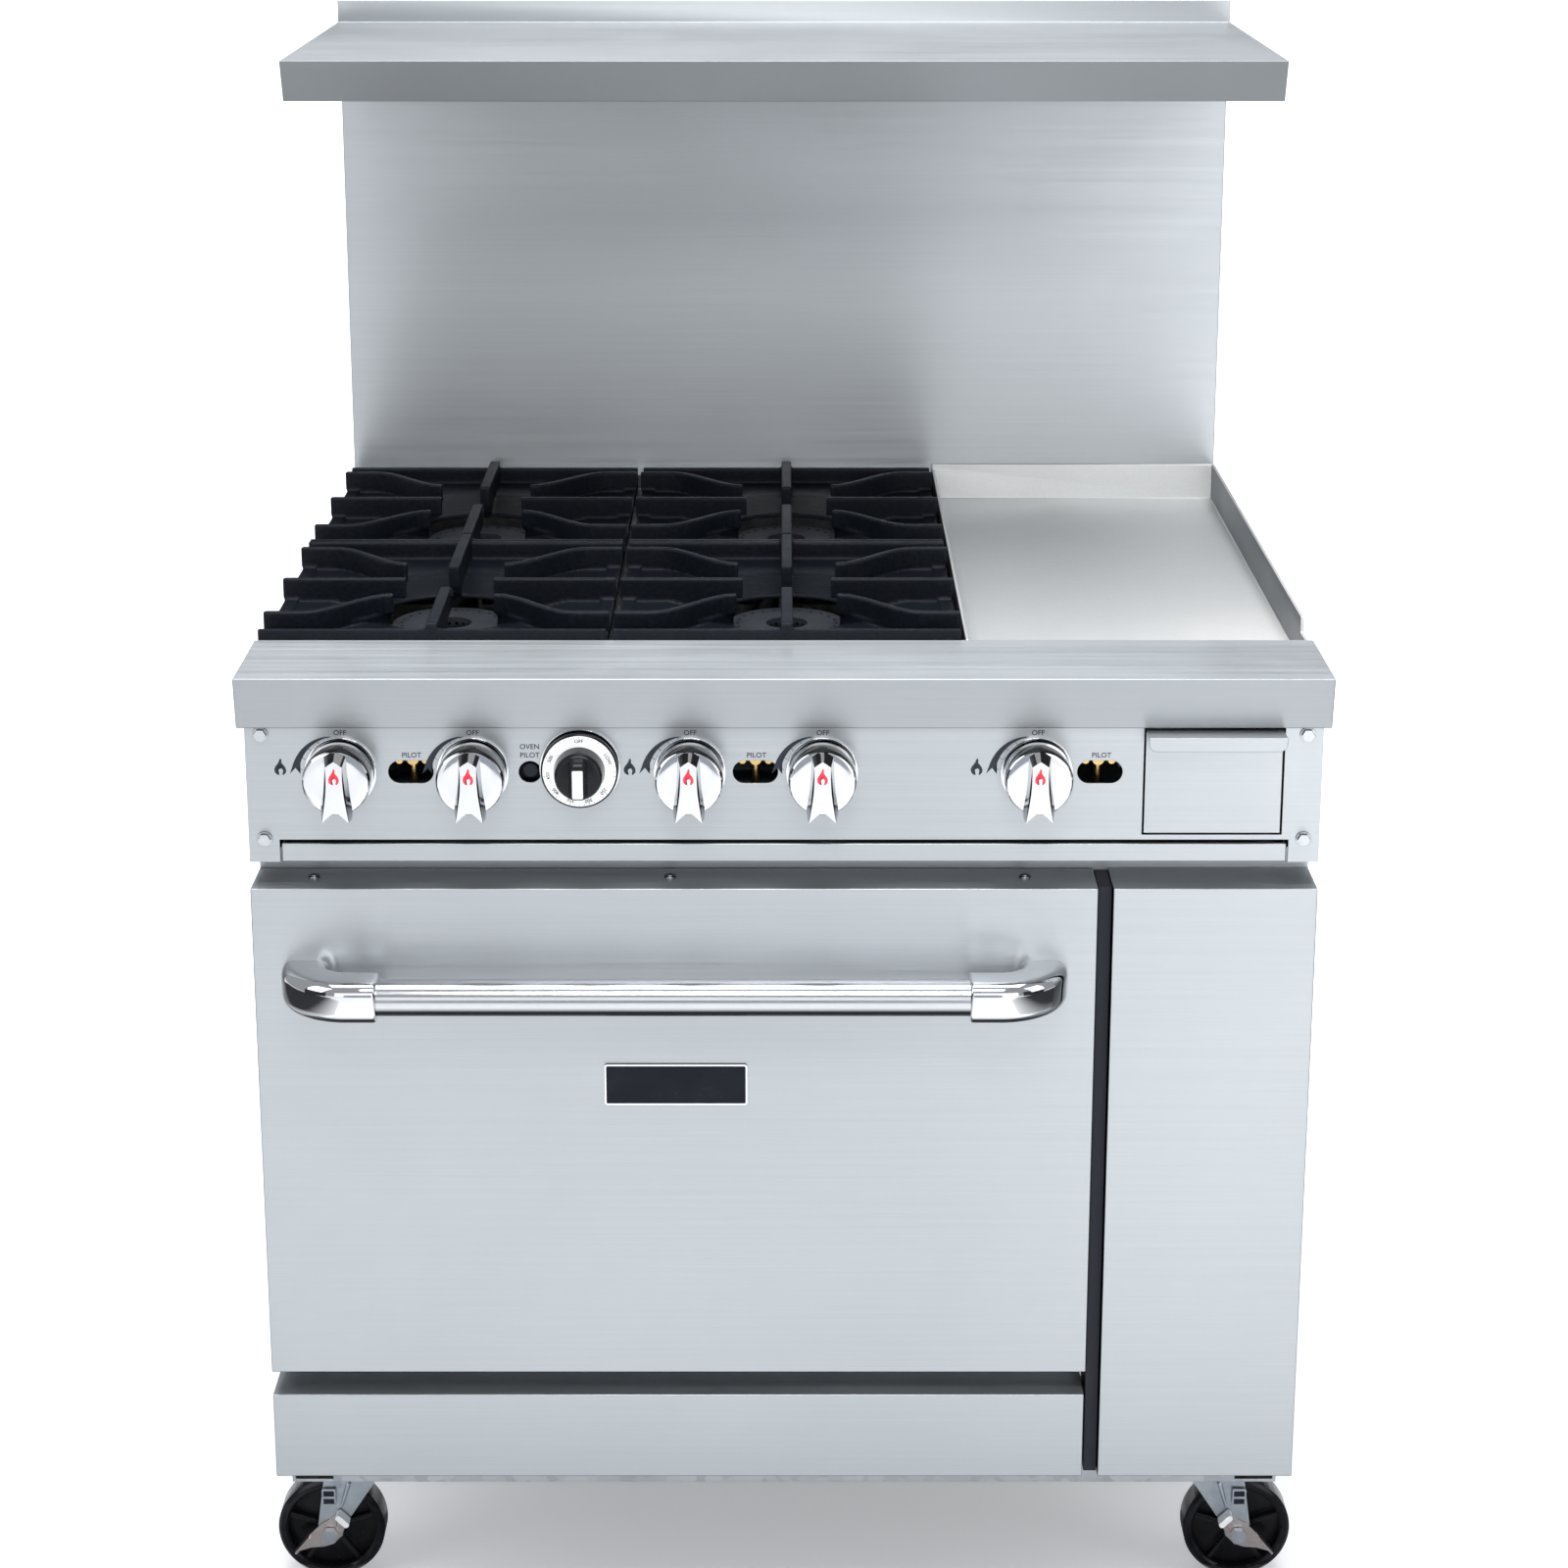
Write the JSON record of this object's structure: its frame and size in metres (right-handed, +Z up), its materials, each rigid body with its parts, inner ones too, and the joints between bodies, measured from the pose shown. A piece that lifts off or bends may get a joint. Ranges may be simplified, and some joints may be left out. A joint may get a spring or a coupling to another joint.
{
  "type": "commercial gas range",
  "caption": "Freestanding stainless gas range on casters with open burners and cast grates, a griddle, a drop-down oven door, knobs, drawers and a high shelf.",
  "frame": {"origin": "on the floor, midway between the outer faces of the caster wheels and midway between the front of the door handle and the end of the gas pipe", "axes": "+Z up, the front with the oven door faces -Y, +X to the right seen from the front"},
  "size_m": [0.952, 0.92, 1.417],
  "materials": {
    "stainless": "horizontally brushed stainless sheet",
    "galvanised": "dull galvanised sheet",
    "griddle_steel": "ground steel plate",
    "chrome": "polished chrome plate",
    "zinc": "bright zinc plate",
    "brake_zinc": "yellow passivated zinc plate",
    "cast_iron": "black cast iron with a sanded skin",
    "burner_iron": "bare grey cast iron",
    "black_steel": "black painted steel",
    "enamel": "grey speckled porcelain enamel",
    "wool": "mineral wool blanket",
    "brass": "machined brass",
    "black_plastic": "black moulded phenolic",
    "aluminium": "soft aluminium tube",
    "badge": "blank black plate with a bright border"
  },
  "bodies": {
    "cabinet": {"base_frame": "galvanised", "caster_plates": "zinc", "left_side_panel": "stainless", "right_side_panel": "stainless", "back_panel": "galvanised", "front_frame": "stainless", "divider_post": "black_steel", "kick_panel": "stainless", "right_front_cover": "stainless", "oven_liner": "enamel", "oven_insulation": "wool", "oven_floor": "enamel", "rack_guides": "chrome", "oven_burner": "burner_iron", "cooktop_frame": "galvanised", "front_ledge": "stainless", "control_panel": "stainless", "panel_screws": "zinc", "knob_bezels": "chrome", "top_burners": "burner_iron", "gas_manifold": "black_steel", "gas_valves": "brass", "oven_controls": "black_steel", "pilot_tubes": "aluminium", "griddle": "griddle_steel", "griddle_burner": "burner_iron", "grease_chute": "stainless", "backsplash": "stainless", "high_shelf": "stainless"},
    "door": {"door_skin": "stainless", "door_liner": "enamel", "door_insulation": "wool", "door_handle_bar": "chrome", "door_handle_brackets": "chrome", "door_badge": "badge", "door_hinge_pins": "zinc", "door_screws": "chrome"},
    "knob_1": {"knob_1": "chrome"},
    "knob_2": {"knob_2": "chrome"},
    "knob_3": {"knob_3": "chrome"},
    "knob_4": {"knob_4": "chrome"},
    "knob_5": {"knob_5": "chrome"},
    "thermostat_knob": {"thermostat_knob": "black_plastic"},
    "crumb_tray": {"crumb_tray": "stainless"},
    "grease_drawer": {"grease_drawer": "stainless"},
    "oven_rack": {"oven_rack": "chrome"},
    "grate_front_left": {"grate_front_left": "cast_iron"},
    "grate_front_right": {"grate_front_right": "cast_iron"},
    "grate_rear_left": {"grate_rear_left": "cast_iron"},
    "grate_rear_right": {"grate_rear_right": "cast_iron"},
    "fork_front_left": {"fork_front_left": "zinc"},
    "fork_front_right": {"fork_front_right": "zinc"},
    "fork_rear_left": {"fork_rear_left": "zinc"},
    "fork_rear_right": {"fork_rear_right": "zinc"},
    "wheel_front_left": {"wheel_front_left": "black_plastic"},
    "wheel_front_right": {"wheel_front_right": "black_plastic"},
    "wheel_rear_left": {"wheel_rear_left": "black_plastic"},
    "wheel_rear_right": {"wheel_rear_right": "black_plastic"},
    "brake_left": {"brake_left": "brake_zinc"},
    "brake_right": {"brake_right": "brake_zinc"}
  },
  "joints": [
    {"name": "door_hinge", "type": "hinge", "parent": "cabinet", "child": "door", "pos_m": [-0.0925, -0.38, 0.3], "axis": [1, 0, 0], "range_deg": [0, 90]},
    {"name": "knob_1_turn", "type": "hinge", "parent": "cabinet", "child": "knob_1", "pos_m": [-0.372, -0.4, 0.841], "axis": [0, -1, 0], "range_deg": [0, 90]},
    {"name": "knob_2_turn", "type": "hinge", "parent": "cabinet", "child": "knob_2", "pos_m": [-0.261, -0.4, 0.841], "axis": [0, -1, 0], "range_deg": [0, 90]},
    {"name": "knob_3_turn", "type": "hinge", "parent": "cabinet", "child": "knob_3", "pos_m": [-0.079, -0.4, 0.841], "axis": [0, -1, 0], "range_deg": [0, 90]},
    {"name": "knob_4_turn", "type": "hinge", "parent": "cabinet", "child": "knob_4", "pos_m": [0.032, -0.4, 0.841], "axis": [0, -1, 0], "range_deg": [0, 90]},
    {"name": "knob_5_turn", "type": "hinge", "parent": "cabinet", "child": "knob_5", "pos_m": [0.212, -0.4, 0.841], "axis": [0, -1, 0], "range_deg": [0, 90]},
    {"name": "thermostat_turn", "type": "hinge", "parent": "cabinet", "child": "thermostat_knob", "pos_m": [-0.171, -0.4, 0.845], "axis": [0, -1, 0], "range_deg": [0, 290]},
    {"name": "crumb_tray_slide", "type": "slide", "parent": "cabinet", "child": "crumb_tray", "axis": [0, -1, 0], "range_m": [0, 0.45]},
    {"name": "grease_drawer_slide", "type": "slide", "parent": "cabinet", "child": "grease_drawer", "axis": [0, -1, 0], "range_m": [0, 0.17]},
    {"name": "oven_rack_slide", "type": "slide", "parent": "cabinet", "child": "oven_rack", "axis": [0, -1, 0], "range_m": [0, 0.055]},
    {"name": "grate_front_left_lift", "type": "slide", "parent": "cabinet", "child": "grate_front_left", "axis": [0, 0, 1], "range_m": [0, 0.15]},
    {"name": "grate_front_right_lift", "type": "slide", "parent": "cabinet", "child": "grate_front_right", "axis": [0, 0, 1], "range_m": [0, 0.15]},
    {"name": "grate_rear_left_lift", "type": "slide", "parent": "cabinet", "child": "grate_rear_left", "axis": [0, 0, 1], "range_m": [0, 0.15]},
    {"name": "grate_rear_right_lift", "type": "slide", "parent": "cabinet", "child": "grate_rear_right", "axis": [0, 0, 1], "range_m": [0, 0.15]},
    {"name": "caster_front_left_swivel", "type": "hinge", "parent": "cabinet", "child": "fork_front_left", "pos_m": [-0.398, -0.237, 0.13], "axis": [0, 0, 1], "continuous": true},
    {"name": "caster_front_right_swivel", "type": "hinge", "parent": "cabinet", "child": "fork_front_right", "pos_m": [0.398, -0.237, 0.13], "axis": [0, 0, 1], "continuous": true},
    {"name": "caster_rear_left_swivel", "type": "hinge", "parent": "cabinet", "child": "fork_rear_left", "pos_m": [-0.398, 0.3, 0.13], "axis": [0, 0, 1], "continuous": true},
    {"name": "caster_rear_right_swivel", "type": "hinge", "parent": "cabinet", "child": "fork_rear_right", "pos_m": [0.398, 0.3, 0.13], "axis": [0, 0, 1], "continuous": true},
    {"name": "wheel_front_left_spin", "type": "hinge", "parent": "fork_front_left", "child": "wheel_front_left", "pos_m": [-0.426, -0.237, 0.05], "axis": [0, 1, 0], "continuous": true},
    {"name": "wheel_front_right_spin", "type": "hinge", "parent": "fork_front_right", "child": "wheel_front_right", "pos_m": [0.426, -0.237, 0.05], "axis": [0, 1, 0], "continuous": true},
    {"name": "wheel_rear_left_spin", "type": "hinge", "parent": "fork_rear_left", "child": "wheel_rear_left", "pos_m": [-0.426, 0.3, 0.05], "axis": [0, 1, 0], "continuous": true},
    {"name": "wheel_rear_right_spin", "type": "hinge", "parent": "fork_rear_right", "child": "wheel_rear_right", "pos_m": [0.426, 0.3, 0.05], "axis": [0, 1, 0], "continuous": true},
    {"name": "brake_left_press", "type": "hinge", "parent": "fork_front_left", "child": "brake_left", "pos_m": [-0.426, -0.237, 0.05], "axis": [0, 1, 0], "range_deg": [0, 20]},
    {"name": "brake_right_press", "type": "hinge", "parent": "fork_front_right", "child": "brake_right", "pos_m": [0.426, -0.237, 0.05], "axis": [0, -1, 0], "range_deg": [0, 20]}
  ]
}
